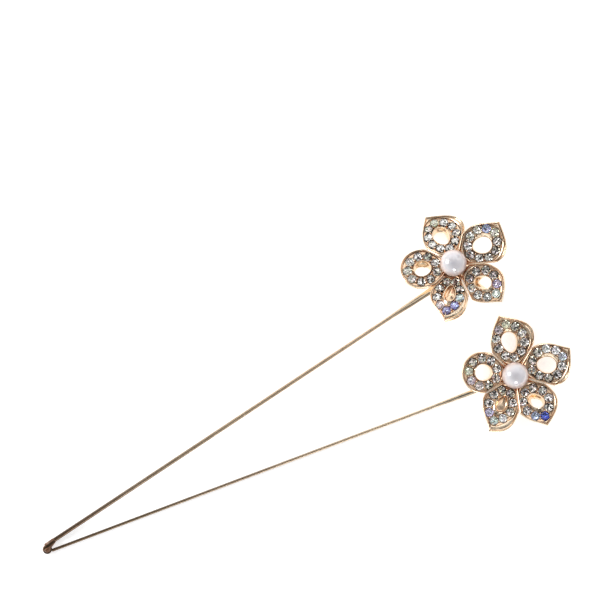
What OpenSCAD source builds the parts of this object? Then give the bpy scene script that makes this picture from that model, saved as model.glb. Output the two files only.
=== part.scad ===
// Decorative hair pin: two long arms hinged at one end, each with an open-work
// flower of five stone-set petals round a pearl at its other end.
// It lies flat with the flowers facing up. X runs from the hinge along the middle
// of the open V, the left arm is on the +Y side, and Z = 0 is the surface it lies on.

/* [Arms] */
// Distance along the left arm from the hinge axis to the middle of its flower
left_length = 149.1; // [125:0.1:165]
// Distance along the right arm from the hinge axis to the middle of its flower
right_length = 149.5; // [125:0.1:165]
// Angle of the left arm from the middle of the V
left_angle = 6.6; // [6.4:0.1:10]
// Angle of the right arm from the middle of the V
right_angle = 6.3; // [6.2:0.1:10]
// Wire diameter of the left arm
left_wire_d = 1.3; // [1.1:0.05:1.4]
// Wire diameter of the right arm
right_wire_d = 0.94; // [0.8:0.02:0.94]
// Height of the left arm's wire where it passes under its flower
left_head_z = 7.44; // [7:0.05:9]
// Height of the right arm's wire where it passes under its flower
right_head_z = 0.42; // [0.42:0.02:2]
// Width of the flattened blade soldered under each hub
blade_w = 2.2; // [1.6:0.1:3]
// Thickness of that blade
blade_t = 0.8; // [0.6:0.1:1]

/* [Hinge] */
// Outer radius of the fork and the knuckle round the hinge pin
barrel_r = 1.4; // [1.2:0.05:1.6]
// Height of the fork, from its lower face to its upper face
barrel_h = 2.3; // [2.2:0.1:3]
// Thickness of each of the fork's two plates
fork_t = 0.6; // [0.5:0.05:0.65]
// Radius of the hinge pin
pin_r = 0.5; // [0.4:0.05:0.55]

/* [Flowers] */
// Roll of the left flower about its arm, away from the right arm
left_roll = 12; // [0:1:20]
// Roll of the right flower about its arm, towards the left arm
right_roll = 0; // [-10:1:10]
// Radius of the round hub plate behind the petals
hub_r = 4.6; // [4:0.1:5.5]
// Thickness of the hub where the petals start
hub_t = 1.4; // [1:0.1:2]
// Radius of the hub's middle boss, which carries the pearl
boss_r = 2.3; // [2:0.1:2.4]
// Height of the boss above the hub's back
boss_h = 1.9; // [1.7:0.1:2.4]

/* [Petals] */
// Thickness of a petal's floor
floor_t = 1; // [0.8:0.1:1.4]
// Height of the rims above the floor
rim_h = 0.5; // [0.3:0.1:0.8]
// Width of the rim along a petal's edge
rim_w = 0.4; // [0.3:0.05:0.6]
// Width of the collar round a petal's window
collar_w = 0.35; // [0.25:0.05:0.4]
// How far the collar stands out behind the petal
collar_drop = 0.6; // [0.3:0.1:1]

/* [Stones and pearls] */
// Radius of a rhinestone's girdle
stone_r = 1.36; // [1:0.02:1.38]
// Height of the stone's straight girdle
girdle_h = 0.5; // [0.3:0.05:0.6]
// Height of the stone's sloping crown
crown_h = 0.65; // [0.4:0.05:0.8]
// Radius of a pearl
pearl_r = 4; // [3.5:0.1:4.2]
// Radius of the peg that a pearl is glued on
peg_r = 0.45; // [0.35:0.05:0.6]

/* [Hidden] */
SIDES = ["left", "right"];
PETALS = [1:5];
PIECES = concat(
    ["arm", "hub", "pearl_cup", "pearl_peg", "pearl"],
    [for (k = PETALS) str("petal_", k)],
    [for (k = PETALS) str("stones_", k)]
);

$fn = 64;
gold = [0.87, 0.67, 0.49];
bronze = [0.5, 0.38, 0.28];
pearl_white = [0.96, 0.94, 0.94];
crystal = [0.78, 0.82, 0.87];

// Hinge levels: the knuckle runs in the slot between the fork's plates
axial_gap = 0.07;
running_gap = 0.05;
hinge_z = barrel_h / 2;
slot_h = barrel_h - 2 * fork_t;
knuckle_h = slot_h - 2 * axial_gap;
left_offset = 1.15;
right_offset = -0.8;
fork_tail = 1.4;
knuckle_tail = 1.2;
fork_web_x = 1.7;
fork_block_x = 3.4;
pin_head_r = 0.85;
pin_head_h = 0.3;

// Along each arm, measured back from the middle of its flower: where the wire starts
// to fade and where it ends, then where the blade starts, where it is a neck, and how
// wide the neck is
left_taper = [22, 15];
left_blade = [25, 16, 1.8];
right_taper = [28, 16];
right_blade = [31, 14, 1.5];
taper_ratio = 0.3;
blade_tip_w = 0.4;
wire_overlap = 1;
fork_web_extra = 0.1;

// The middle of each flower lies to one side of the wire under it
left_stem_offset = 1.9;
right_stem_offset = 0.2;

// A petal is drawn with its length along X, from the flower's middle outwards.
// Columns: length, half width on the leading side, half width on the trailing side,
// sweep of the tip towards the leading side, mirrored, pointed
shape_table = [
    [18.5, 6.1, 7.3, 2.6, false, true],
    [18.6, 6.3, 7.2, 2.0, false, true],
    [18.3, 6.3, 5.8, 2.2, true, true],
    [18.9, 6.0, 5.7, 0.2, true, true],
    [16.6, 6.2, 6.2, 0.0, false, false]
];
// The line that a petal's stones lie on. Columns: where it starts, how far it ends before
// the tip, its distance from the leading edge, its distance from the trailing edge,
// how much narrower it is towards the root, how much narrower it is towards the tip,
// how far it is drawn sideways at the tip, stones
ring_table = [
    [5.35, 2.9, 1.85, 3.05, 0.28, 0.11, 0.7, 10],
    [5.6, 3.1, 1.9, 2.75, 0.28, 0.24, 0.35, 10],
    [6.05, 2.9, 2.3, 2.05, 0.11, 0.27, 0.8, 9],
    [5.5, 3.6, 2.2, 2.5, -0.05, 0.42, -0.1, 9],
    [5.6, 2.1, 2, 2, 0.07, 0, 0, 9]
];
// Columns: where the middle of the window lies along the petal and across it, its half
// length, its half width, its turn towards the leading side, how much narrower it is
// towards the root, whether it goes right through
window_table = [
    [10.1, 0.35, 3.1, 2.3, 8, 0.2, true],
    [10.1, -0.35, 2.9, 2.4, -25, 0.12, true],
    [10.2, 0.1, 2.65, 1.9, -22, 0.1, true],
    [9.6, 0, 2.6, 1.6, 0, 0.3, false],
    [9.9, 0, 2.6, 2.4, 0, 0.09, true]
];
// The petals are bent by hand, so each flower has its own set of angles.
// Columns: direction, cup, twist
left_bends = [
    [82, -21, 8],
    [4.5, 5, 10],
    [-65, 4, 6],
    [-130, 17.5, 6],
    [155, 6, 13]
];
right_bends = [
    [77, 3, 5],
    [0, 5, 2],
    [-71, 11, -5],
    [-135, 10, 0],
    [154, 14, 0]
];
// How far the seam after each petal is turned towards the next petal
seam_turns = [0, 0, 0.4, -1.3, 0.2];
petal_start = 2.9;
petal_root_w = 1.7;
// Where an outline's control points lie, as fractions of the petal's length
lead_at = [0.27, 0.36, 0.53, 0.72, 0.84];
trail_at = [0.3, 0.47, 0.63, 0.87, 0.94];
round_at = [0.33, 0.42, 0.61, 0.83];
// Half widths at the control points beside the root and the tip
lead_neck = 3.9;
trail_neck = 3.3;
round_neck = 3.5;
tip_rise = 1.6;
tip_fall = 3.6;
round_end = 0.58;
hinge_line = 3;
seam = 0.05;
window_floor_t = 0.4;
seat_gap = 0.02;
seat_z = 0.55;
curve_steps = 9;
ring_step = 5;
window_step = 12;
far = 40;

// The hub: a thin plate that clears the petals, with one sloping pad under each
plate_t = hub_t - 0.85;
pad_start = 2;
pad_end = 4.4;
pad_w = 2.2;

// Pearl stack above the hub's back: boss, cup floor, then the pearl on its flat
cup_floor = 0.5;
cup_r = 2.25;
cup_h = 1.1;
cup_gap = 0.03;
pearl_flat = 0.2;
pearl_z = boss_h + cup_floor + pearl_r - pearl_flat;
peg_foot_z = 0.8;
peg_gap = 0.02;
table_ratio = 0.55;

function pick(side, pair) = side == "left" ? pair[0] : pair[1];
function arm_angle(side) = pick(side, [left_angle, -right_angle]);
function arm_offset(side) = pick(side, [left_offset, right_offset]);
function wire_r(side) = pick(side, [left_wire_d, right_wire_d]) / 2;
function head_z(side) = pick(side, [left_head_z, right_head_z]);
function arm_length(side) = pick(side, [left_length, right_length]);
function arm_pitch(side) = asin((head_z(side) - hinge_z) / arm_length(side));
function flower_roll(side) = pick(side, [left_roll, right_roll]);
function stem_offset(side) = pick(side, [left_stem_offset, right_stem_offset]);

function petal_length(k) = shape_table[k - 1][0];
function lead(k) = shape_table[k - 1][1];
function trail(k) = shape_table[k - 1][2];
function sweep(k) = shape_table[k - 1][3];
function is_mirrored(k) = shape_table[k - 1][4];
function is_pointed(k) = shape_table[k - 1][5];
function ring_start(k) = ring_table[k - 1][0];
function ring_end(k) = petal_length(k) - ring_table[k - 1][1];
function ring_lead(k) = lead(k) - ring_table[k - 1][2];
function ring_trail(k) = trail(k) - ring_table[k - 1][3];
function ring_root(k) = ring_table[k - 1][4];
function ring_tip(k) = ring_table[k - 1][5];
function ring_draw(k) = ring_table[k - 1][6];
function stone_count(k) = ring_table[k - 1][7];
function window(k) = window_table[k - 1];

function bend(side, k) = pick(side, [left_bends, right_bends])[k - 1];
function direction(side, k) = bend(side, k)[0];
function cup(side, k) = bend(side, k)[1];
function twist(side, k) = bend(side, k)[2];

// Angle between a petal's middle and its seam with the neighbour on the left, and on the right
function before(k) = k == 1 ? 5 : k - 1;
function after(k) = k == 5 ? 1 : k + 1;
function half_turn(a, b) = ((a - b + 720) % 360) / 2;
function left_half(side, k) =
    half_turn(direction(side, before(k)), direction(side, k)) - seam_turns[before(k) - 1];
function right_half(side, k) =
    half_turn(direction(side, k), direction(side, after(k))) + seam_turns[k - 1];

// Points of a cubic curve, without its last point
function curve(a, b, c, d) = [
    for (i = [0:curve_steps - 1])
        let (t = i / curve_steps, s = 1 - t)
            s * s * s * a + 3 * s * s * t * b + 3 * s * t * t * c + t * t * t * d
];

function pointed_outline(len, up, down, tip_y) =
    let (
        lead_x = len * lead_at,
        trail_x = len * trail_at,
        root = [petal_start, petal_root_w],
        top = [lead_x[2], up],
        tip = [len, tip_y],
        bottom = [trail_x[2], -down],
        foot = [petal_start, -petal_root_w]
    )
    concat(
        curve(root, [lead_x[0], lead_neck], [lead_x[1], up], top),
        curve(top, [lead_x[3], up], [lead_x[4], tip_y + tip_rise], tip),
        curve(tip, [trail_x[4], tip_y - tip_fall], [trail_x[3], -down], bottom),
        curve(bottom, [trail_x[1], -down], [trail_x[0], -trail_neck], foot),
        [foot]
    );

function round_outline(len, up, down) =
    let (
        x = len * round_at,
        root = [petal_start, petal_root_w],
        top = [x[2], up],
        end = [len, 0],
        bottom = [x[2], -down],
        foot = [petal_start, -petal_root_w]
    )
    concat(
        curve(root, [x[0], round_neck], [x[1], up], top),
        curve(top, [x[3], up], [len, round_end * up], end),
        curve(end, [len, -round_end * down], [x[3], -down], bottom),
        curve(bottom, [x[1], -down], [x[0], -round_neck], foot),
        [foot]
    );

// The stone ring and the window are ovals that narrow towards their ends
function tipward(a) = pow(max(0, cos(a)), 2);
function rootward(a) = pow(max(0, -cos(a)), 2);
function ring_width(k, a) = 1 - ring_root(k) * rootward(a) - ring_tip(k) * tipward(a);
function ring_point(k, a) = [
    (ring_start(k) + ring_end(k)) / 2 + (ring_end(k) - ring_start(k)) / 2 * cos(a),
    (ring_lead(k) - ring_trail(k)) / 2
        + (ring_lead(k) + ring_trail(k)) / 2 * sin(a) * ring_width(k, a)
        + ring_draw(k) * tipward(a)
];
function egg(amount, a) = sin(a) * (1 + amount * cos(a));
function turned(p, a) = [p[0] * cos(a) - p[1] * sin(a), p[0] * sin(a) + p[1] * cos(a)];
function window_points(k, grow) =
    let (w = window(k))
    [
        for (a = [0:window_step:359])
            [w[0], w[1]]
                + turned([(w[2] + grow) * cos(a), (w[3] + grow) * egg(w[5], a)], w[4])
    ];

// Running length along the stone ring against the angle, to space the stones evenly
function ring_lengths(k) = [
    for (i = 0, s = 0;
         i <= 360 / ring_step;
         s = s + norm(ring_point(k, ring_step * (i + 1)) - ring_point(k, ring_step * i)), i = i + 1)
        [s, ring_step * i]
];
function stone_angle(k, i) =
    let (lengths = ring_lengths(k))
        lookup(i / stone_count(k) * lengths[len(lengths) - 1][0], lengths);

// Places its children on an arm: X runs along the wire, from the hinge
module on_arm(side) {
    translate([0, 0, hinge_z])
        rotate([0, -arm_pitch(side), arm_angle(side)])
            translate([0, arm_offset(side), 0])
                children();
}

// Places its children at the end of an arm, rolled with the flower
module on_blade(side) {
    on_arm(side)
        translate([arm_length(side), 0, 0])
            rotate([-flower_roll(side), 0, 0])
                children();
}

// Places its children on the back face of the hub
module on_flower(side) {
    on_blade(side)
        translate([0, stem_offset(side), blade_t / 2])
            children();
}

// Turns its children into the sector of one petal, X pointing along the petal
module on_sector(side, k) {
    on_flower(side) rotate([0, 0, direction(side, k)]) children();
}

// Bends its children from the hub along the petal's hinge line
module bent(side, k) {
    translate([hinge_line, 0, hub_t])
        rotate([0, -cup(side, k), 0])
            rotate([twist(side, k), 0, 0])
                translate([-hinge_line, 0, 0])
                    children();
}

// Places its children on the underside of a petal
module on_petal(side, k) {
    on_sector(side, k)
        bent(side, k)
            mirror([0, is_mirrored(k) ? 1 : 0, 0])
                children();
}

// The part of the flower that belongs to one petal
module sector(side, k, gap) {
    translate([gap, 0, -far])
        linear_extrude(2 * far)
            polygon([
                [0, 0],
                far * [cos(right_half(side, k)), -sin(right_half(side, k))],
                far * [cos(left_half(side, k)), sin(left_half(side, k))]
            ]);
}

module petal_outline(k) {
    if (is_pointed(k))
        polygon(pointed_outline(petal_length(k), lead(k), trail(k), sweep(k)));
    else
        polygon(round_outline(petal_length(k), lead(k), trail(k)));
}

module petal_plate(k) {
    window_foot = window(k)[6] ? -far : window_floor_t - collar_drop;
    difference() {
        union() {
            linear_extrude(floor_t) petal_outline(k);
            linear_extrude(floor_t + rim_h)
                difference() {
                    petal_outline(k);
                    offset(delta = -rim_w) petal_outline(k);
                }
            translate([0, 0, -collar_drop])
                linear_extrude(collar_drop + floor_t + rim_h)
                    polygon(window_points(k, collar_w));
        }
        translate([0, 0, window_foot])
            linear_extrude(2 * far)
                polygon(window_points(k, 0));
        at_stones(k) cylinder(r = stone_r + seat_gap, h = far);
    }
}

// Places its children on the seat of every stone of a petal
module at_stones(k) {
    for (i = [0:stone_count(k) - 1]) {
        point = ring_point(k, stone_angle(k, i));
        translate([point[0], point[1], seat_z]) children();
    }
}

module petal(side, k) {
    color(gold)
        intersection() {
            on_petal(side, k) petal_plate(k);
            on_sector(side, k) sector(side, k, seam);
        }
}

// Flat-backed round rhinestone with a sloping crown and a flat table
module rhinestone() {
    cylinder(r = stone_r, h = girdle_h);
    translate([0, 0, girdle_h])
        cylinder(r1 = stone_r, r2 = table_ratio * stone_r, h = crown_h);
}

module stones(side, k) {
    color(crystal) on_petal(side, k) at_stones(k) rhinestone();
}

// Round plate with one sloping pad under each petal, and a boss for the pearl
module hub(side) {
    color(gold)
        difference() {
            union() {
                on_flower(side) {
                    cylinder(r = hub_r, h = plate_t);
                    cylinder(r = boss_r, h = boss_h);
                }
                for (k = PETALS) hub_pad(side, k);
            }
            on_flower(side)
                translate([0, 0, peg_foot_z])
                    cylinder(r = peg_r + peg_gap, h = far);
        }
}

module hub_pad(side, k) {
    on_sector(side, k)
        difference() {
            translate([pad_start, -pad_w / 2, 0])
                cube([pad_end - pad_start, pad_w, 2 * hub_t]);
            bent(side, k)
                translate([-far, -far, 0])
                    cube([2 * far, 2 * far, far]);
        }
}

module pearl_cup(side) {
    color(gold)
        on_flower(side)
            difference() {
                translate([0, 0, boss_h]) cylinder(r = cup_r, h = cup_h);
                translate([0, 0, boss_h + cup_floor])
                    intersection() {
                        translate([0, 0, pearl_r - pearl_flat]) sphere(r = pearl_r + cup_gap);
                        translate([0, 0, far]) cube(2 * far, center = true);
                    }
                cylinder(r = peg_r + peg_gap, h = far);
            }
}

module pearl_peg(side) {
    color(gold)
        on_flower(side)
            translate([0, 0, peg_foot_z])
                cylinder(r = peg_r, h = pearl_z - peg_foot_z);
}

module pearl(side) {
    color(pearl_white)
        on_flower(side)
            translate([0, 0, pearl_z])
                difference() {
                    sphere(r = pearl_r);
                    translate([0, 0, pearl_flat - pearl_r - far]) cylinder(r = pearl_r, h = far);
                    translate([0, 0, -far]) cylinder(r = peg_r + peg_gap, h = far);
                }
}

// Flat blade that grows out of the wire and runs under the hub
module blade(side) {
    shape = pick(side, [left_blade, right_blade]);
    half = blade_w / 2;
    half_neck = shape[2] / 2;
    half_tip = blade_tip_w / 2;
    on_blade(side)
        translate([0, 0, -blade_t / 2])
            linear_extrude(blade_t) {
                polygon([
                    [-shape[0], -half_tip],
                    [-shape[1], -half_neck],
                    [-hub_r, -half],
                    [boss_r, -half],
                    [boss_r, half],
                    [-hub_r, half],
                    [-shape[1], half_neck],
                    [-shape[0], half_tip]
                ]);
                translate([boss_r, 0]) circle(r = half);
            }
}

// Round wire from start_x, fading into the blade over the taper before the flower
module wire(side, start_x) {
    taper = pick(side, [left_taper, right_taper]);
    taper_x = arm_length(side) - taper[0];
    on_arm(side)
        rotate([0, 90, 0]) {
            translate([0, 0, start_x])
                cylinder(r = wire_r(side), h = taper_x - start_x);
            translate([0, 0, taper_x])
                cylinder(r1 = wire_r(side), r2 = taper_ratio * wire_r(side), h = taper[0] - taper[1]);
        }
}

module left_arm() {
    color(gold) {
        wire("left", fork_block_x - wire_overlap);
        blade("left");
        difference() {
            rotate([0, 0, left_angle]) fork_shape();
            rotate([0, 0, left_angle])
                translate([-far, -far, fork_t])
                    cube([far + fork_web_x, 2 * far, slot_h]);
            cylinder(r = pin_r, h = far);
        }
    }
}

module fork_shape() {
    width = 2 * wire_r("left") + fork_web_extra;
    cylinder(r = barrel_r, h = barrel_h);
    translate([-fork_tail, left_offset - width / 2, 0])
        cube([fork_tail + fork_block_x, width, barrel_h]);
}

module right_arm() {
    color(gold) {
        blade("right");
        difference() {
            union() {
                wire("right", -knuckle_tail);
                translate([0, 0, hinge_z - knuckle_h / 2]) cylinder(r = barrel_r, h = knuckle_h);
            }
            cylinder(r = pin_r + running_gap, h = far);
        }
    }
}

module arm(side) {
    if (side == "left")
        left_arm();
    else
        right_arm();
}

// Rivet through the fork and the knuckle, flush below and with a low head on top
module hinge_pin() {
    color(bronze) {
        cylinder(r = pin_r, h = barrel_h);
        translate([0, 0, barrel_h])
            rotate_extrude()
                polygon([
                    [0, 0],
                    [pin_head_r, 0],
                    [pin_head_r, pin_head_h / 3],
                    [2 * pin_head_r / 3, pin_head_h],
                    [0, pin_head_h]
                ]);
    }
}

hinge_pin();
for (side = SIDES) {
    arm(side);
    hub(side);
    pearl_cup(side);
    pearl_peg(side);
    pearl(side);
    for (k = PETALS) {
        petal(side, k);
        stones(side, k);
    }
}
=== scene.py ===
"""Looks of the two-armed flower hair pin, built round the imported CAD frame."""

import math

import bpy
import numpy as np
from mathutils import Matrix, Vector


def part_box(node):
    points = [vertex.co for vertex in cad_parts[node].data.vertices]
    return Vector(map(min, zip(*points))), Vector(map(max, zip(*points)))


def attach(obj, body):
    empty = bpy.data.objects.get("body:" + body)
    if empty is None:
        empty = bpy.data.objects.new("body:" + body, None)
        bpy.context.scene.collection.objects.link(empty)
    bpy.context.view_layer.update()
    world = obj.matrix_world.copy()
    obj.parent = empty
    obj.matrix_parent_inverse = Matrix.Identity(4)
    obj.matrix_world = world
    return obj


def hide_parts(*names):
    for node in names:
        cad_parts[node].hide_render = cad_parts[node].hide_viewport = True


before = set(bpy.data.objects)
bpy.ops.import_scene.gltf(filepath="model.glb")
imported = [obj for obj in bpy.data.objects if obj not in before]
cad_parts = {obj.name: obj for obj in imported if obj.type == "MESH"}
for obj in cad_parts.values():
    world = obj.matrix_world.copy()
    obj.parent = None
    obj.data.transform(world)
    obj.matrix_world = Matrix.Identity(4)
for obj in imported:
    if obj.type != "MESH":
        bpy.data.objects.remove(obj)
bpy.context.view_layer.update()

MM = 0.001
SEED = 20260
SIDES = ("left", "right")
PETALS = (1, 2, 3, 4, 5)

# ---------------------------------------------------------------- sizes, in millimetres
LENGTH = {"left": 149.1, "right": 149.5}
ANGLE = {"left": 6.6, "right": -6.3}
OFFSET = {"left": 1.15, "right": -0.8}
WIRE_R = {"left": 0.65, "right": 0.47}
HEAD_Z = {"left": 7.44, "right": 0.42}
ROLL = {"left": 12.0, "right": 0.0}
STEM = {"left": 1.9, "right": 0.2}
BARREL_R, BARREL_H, FORK_T, PIN_R = 1.4, 2.3, 0.6, 0.5
HINGE_Z = BARREL_H / 2
KNUCKLE_H = 0.96
FORK_WEB_X, FORK_BLOCK_X, FORK_HALF, EDGE_BEVEL = 1.7, 3.4, 0.7, 0.08
HEAD_R, PIN_HEAD_H = 0.58, 0.3
RUNNING_GAP = 0.05
BLADE_W, BLADE_T = 2.2, 0.8
HUB_R, HUB_T, BOSS_R, BOSS_H = 4.6, 1.4, 2.3, 1.9
HINGE_LINE = 3.0
PETAL_START, PETAL_ROOT_W = 2.9, 1.7
STONE_R, SEAT_Z, GIRDLE_H, CROWN_H = 1.36, 0.55, 0.5, 0.65
PEARL_R, PEARL_FLAT, CUP_FLOOR, CUP_R, CUP_H = 4.0, 0.2, 0.5, 2.25, 1.1
PEARL_Z = BOSS_H + CUP_FLOOR + PEARL_R - PEARL_FLAT
FLOOR_Z, RIM_Z, COLLAR_DROP = 0.8, 1.5, 0.6
SEAM = 0.04  # from a petal to the plane between it and the next
SEAT_REACH = 1.42  # half the width of the stones' channel
PRONG_R, PRONG_TO_EDGE = 0.27, 0.42
PETAL_RAYS, DENSE_RAYS = 168, 1440

# length, half width leading, half width trailing, sweep of the tip, mirrored, pointed
SHAPE = {
    1: (18.5, 6.1, 7.3, 2.6, False, True),
    2: (18.6, 6.3, 7.2, 2.0, False, True),
    3: (18.3, 6.3, 5.8, 2.2, True, True),
    4: (18.9, 6.0, 5.7, 0.2, True, True),
    5: (16.6, 6.2, 6.2, 0.0, False, False),
}
# stone ring: start, end before the tip, from the leading edge, from the trailing edge,
# narrower towards the root, narrower towards the tip, drawn sideways at the tip, stones
RING = {
    1: (5.35, 2.9, 1.85, 3.05, 0.28, 0.11, 0.7, 10),
    2: (5.6, 3.1, 1.9, 2.75, 0.28, 0.24, 0.35, 10),
    3: (6.05, 2.9, 2.3, 2.05, 0.11, 0.27, 0.8, 9),
    4: (5.5, 3.6, 2.2, 2.5, -0.05, 0.42, -0.1, 9),
    5: (5.6, 2.1, 2.0, 2.0, 0.07, 0.0, 0.0, 9),
}
# window: middle along and across the petal, half length, half width, turn, egg, open
WINDOW = {
    1: (10.1, 0.35, 3.1, 2.3, 8, 0.2, True),
    2: (10.1, -0.35, 2.9, 2.4, -25, 0.12, True),
    3: (10.2, 0.1, 2.65, 1.9, -22, 0.1, True),
    4: (9.6, 0.0, 2.6, 1.6, 0, 0.3, False),
    5: (9.9, 0.0, 2.6, 2.4, 0, 0.09, True),
}
# direction, cup, twist of each petal
BEND = {
    "left": {
        1: (82, -21, 8), 2: (4.5, 5, 10), 3: (-65, 4, 6), 4: (-130, 17.5, 6), 5: (155, 6, 13),
    },
    "right": {1: (77, 3, 5), 2: (0, 5, 2), 3: (-71, 11, -5), 4: (-135, 10, 0), 5: (154, 14, 0)},
}
# degrees by which the seam after each petal is turned
SEAM_TURN = {1: 0, 2: 0, 3: 0.4, 4: -1.3, 5: 0.2}

# The front view is straight down, turned so that the pin points to the lower left
TURN = math.radians(26.95)
RIGHT = Vector((math.cos(TURN), -math.sin(TURN), 0))
UP = Vector((math.sin(TURN), math.cos(TURN), 0))


# ---------------------------------------------------------------- places
def shift(x, y, z):
    return Matrix.Translation((x, y, z))


def turn(axis, degrees):
    return Matrix.Rotation(math.radians(degrees), 4, axis)


def on_arm(side):
    pitch = math.degrees(math.asin((HEAD_Z[side] - HINGE_Z) / LENGTH[side]))
    return shift(0, 0, HINGE_Z) @ turn("Z", ANGLE[side]) @ turn("Y", -pitch) @ shift(0, OFFSET[side], 0)


def on_flower(side):
    return (
        on_arm(side)
        @ shift(LENGTH[side], 0, 0)
        @ turn("X", -ROLL[side])
        @ shift(0, STEM[side], BLADE_T / 2)
    )


def bend_matrix(side, k):
    direction, cup, twist = BEND[side][k]
    mirror = Matrix.Diagonal((1, -1 if SHAPE[k][4] else 1, 1, 1))
    return (
        shift(HINGE_LINE, 0, HUB_T)
        @ turn("Y", -cup)
        @ turn("X", twist)
        @ shift(-HINGE_LINE, 0, 0)
        @ mirror
    )


def on_petal(side, k):
    return on_flower(side) @ turn("Z", BEND[side][k][0]) @ bend_matrix(side, k)


# ---------------------------------------------------------------- meshes
def transformed(points, matrix):
    a = np.array(matrix, float)
    return np.asarray(points, float) @ a[:3, :3].T + a[:3, 3]


def signed_volume(points, faces):
    total = 0.0
    for f in faces:
        a = points[f[0]]
        for i in range(1, len(f) - 1):
            total += float(np.dot(a, np.cross(points[f[i]], points[f[i + 1]])))
    return total


def piece(name, points, faces, matrix, materials, side, nodes, slot,
          sharp=38.0, face_material=None, tints=None):
    """A closed mesh from points in millimetres, riding on its side's body."""
    pts = transformed(points, matrix) * MM
    faces = [list(f) for f in faces]
    if signed_volume(pts - pts.mean(0), faces) < 0:
        faces = [f[::-1] for f in faces]
    mesh = bpy.data.meshes.new(name)
    mesh.from_pydata(pts.tolist(), [], faces)
    for m in materials:
        mesh.materials.append(m)
    if face_material is not None:
        mesh.polygons.foreach_set("material_index", np.array(face_material, np.int32))
    if sharp is None:
        mesh.shade_flat()
    else:
        mesh.shade_smooth()
        mesh.set_sharp_from_angle(angle=math.radians(sharp))
    if tints is not None:
        attribute = mesh.attributes.new("tint", "FLOAT_COLOR", "FACE")
        attribute.data.foreach_set("color", np.asarray(tints, np.float32).ravel())
    mesh.validate()
    obj = bpy.data.objects.new(name, mesh)
    bpy.context.scene.collection.objects.link(obj)
    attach(obj, side + "_side")
    if nodes:
        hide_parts(*nodes)
    return obj


def ring_faces(rows, count, closed_rows=True):
    """Quads between consecutive rings of count points each."""
    faces = []
    for r in range(rows if closed_rows else rows - 1):
        a, b = r * count, ((r + 1) % rows) * count
        for i in range(count):
            j = (i + 1) % count
            faces.append((a + i, a + j, b + j, b + i))
    return faces


def capped_faces(rows, count):
    """The same for an open stack of rings, with one face over each end."""
    last = (rows - 1) * count
    ends = [tuple(range(count))[::-1], tuple(range(last, last + count))]
    return ring_faces(rows, count, closed_rows=False) + ends


def fanned_faces(rows, count):
    """The same, with a fan over each end: its middle is the first or second point after the rings."""
    last, middle = (rows - 1) * count, rows * count
    faces = ring_faces(rows, count, closed_rows=False)
    for i in range(count):
        j = (i + 1) % count
        faces += [(middle, j, i), (middle + 1, last + i, last + j)]
    return faces


def lathe(profile, segments):
    """A solid of revolution about Z from (radius, height) pairs that start and end on the axis
    or close on themselves."""
    closed = profile[0][0] > 1e-9
    angles = np.linspace(0, 2 * math.pi, segments, endpoint=False)
    points, rows = [], []
    for r, z in profile:
        if r <= 1e-9:
            rows.append([len(points)])
            points.append((0.0, 0.0, z))
        else:
            rows.append(list(range(len(points), len(points) + segments)))
            points += [(r * math.cos(a), r * math.sin(a), z) for a in angles]
    faces = []
    count = len(rows)
    for n in range(count if closed else count - 1):
        a, b = rows[n], rows[(n + 1) % count]
        for i in range(segments):
            j = (i + 1) % segments
            if len(a) == 1:
                faces.append((a[0], b[j], b[i]))
            elif len(b) == 1:
                faces.append((a[i], a[j], b[0]))
            else:
                faces.append((a[i], a[j], b[j], b[i]))
    return np.array(points), faces


def merged(parts):
    """Several (points, faces) as one."""
    points, faces, base = [], [], 0
    for p, f in parts:
        points.append(np.asarray(p, float))
        faces += [tuple(base + i for i in q) for q in f]
        base += len(p)
    return np.concatenate(points), faces


# ---------------------------------------------------------------- petal outlines
def cubic(a, b, c, d, n=40):
    t = np.arange(n)[:, None] / n
    s = 1 - t
    a, b, c, d = (np.array(p, float) for p in (a, b, c, d))
    return s ** 3 * a + 3 * s * s * t * b + 3 * s * t * t * c + t ** 3 * d


def outline(k):
    length, up, down, tip, _, pointed = SHAPE[k]
    start, foot = (PETAL_START, PETAL_ROOT_W), (PETAL_START, -PETAL_ROOT_W)
    if pointed:
        top, end, low = (0.53 * length, up), (length, tip), (0.63 * length, -down)
        # The necks are full, so that neighbouring petals meet all along their seam
        curves = [
            cubic(start, (0.22 * length, 4.6), (0.34 * length, up), top),
            cubic(top, (0.72 * length, up), (0.84 * length, tip + 1.6), end),
            cubic(end, (0.94 * length, tip - 3.6), (0.87 * length, -down), low),
            cubic(low, (0.43 * length, -down), (0.23 * length, -4.6), foot),
        ]
    else:
        top, end, low = (0.61 * length, up), (length, 0), (0.61 * length, -down)
        curves = [
            cubic(start, (0.27 * length, 4.4), (0.4 * length, up), top),
            cubic(top, (0.83 * length, up), (length, 0.58 * up), end),
            cubic(end, (length, -0.58 * down), (0.83 * length, -down), low),
            cubic(low, (0.4 * length, -down), (0.27 * length, -4.4), foot),
        ]
    return np.concatenate(curves + [np.array([foot])])


def ring_point(k, a):
    start, before, lead, trail, root, tip, draw, _ = RING[k]
    length, up, down = SHAPE[k][:3]
    end, up, down = length - before, up - lead, down - trail
    c, s = math.cos(a), math.sin(a)
    tipward, rootward = max(0.0, c) ** 2, max(0.0, -c) ** 2
    return np.array([
        (start + end) / 2 + (end - start) / 2 * c,
        (up - down) / 2 + (up + down) / 2 * s * (1 - root * rootward - tip * tipward) + draw * tipward,
    ])


def stone_centres(k):
    steps = np.radians(np.arange(0, 361, 5))
    path = np.array([ring_point(k, a) for a in steps])
    along = np.concatenate([[0], np.cumsum(np.linalg.norm(np.diff(path, axis=0), axis=1))])
    count = RING[k][7]
    return [ring_point(k, np.interp(i / count * along[-1], along, steps)) for i in range(count)]


def window_at(k, angles):
    x, y, half_length, half_width, degrees, egg, _ = WINDOW[k]
    t = math.radians(degrees)
    u = half_length * np.cos(angles)
    v = half_width * np.sin(angles) * (1 + egg * np.cos(angles))
    return np.stack([x + u * math.cos(t) - v * math.sin(t), y + u * math.sin(t) + v * math.cos(t)], 1)


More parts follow.
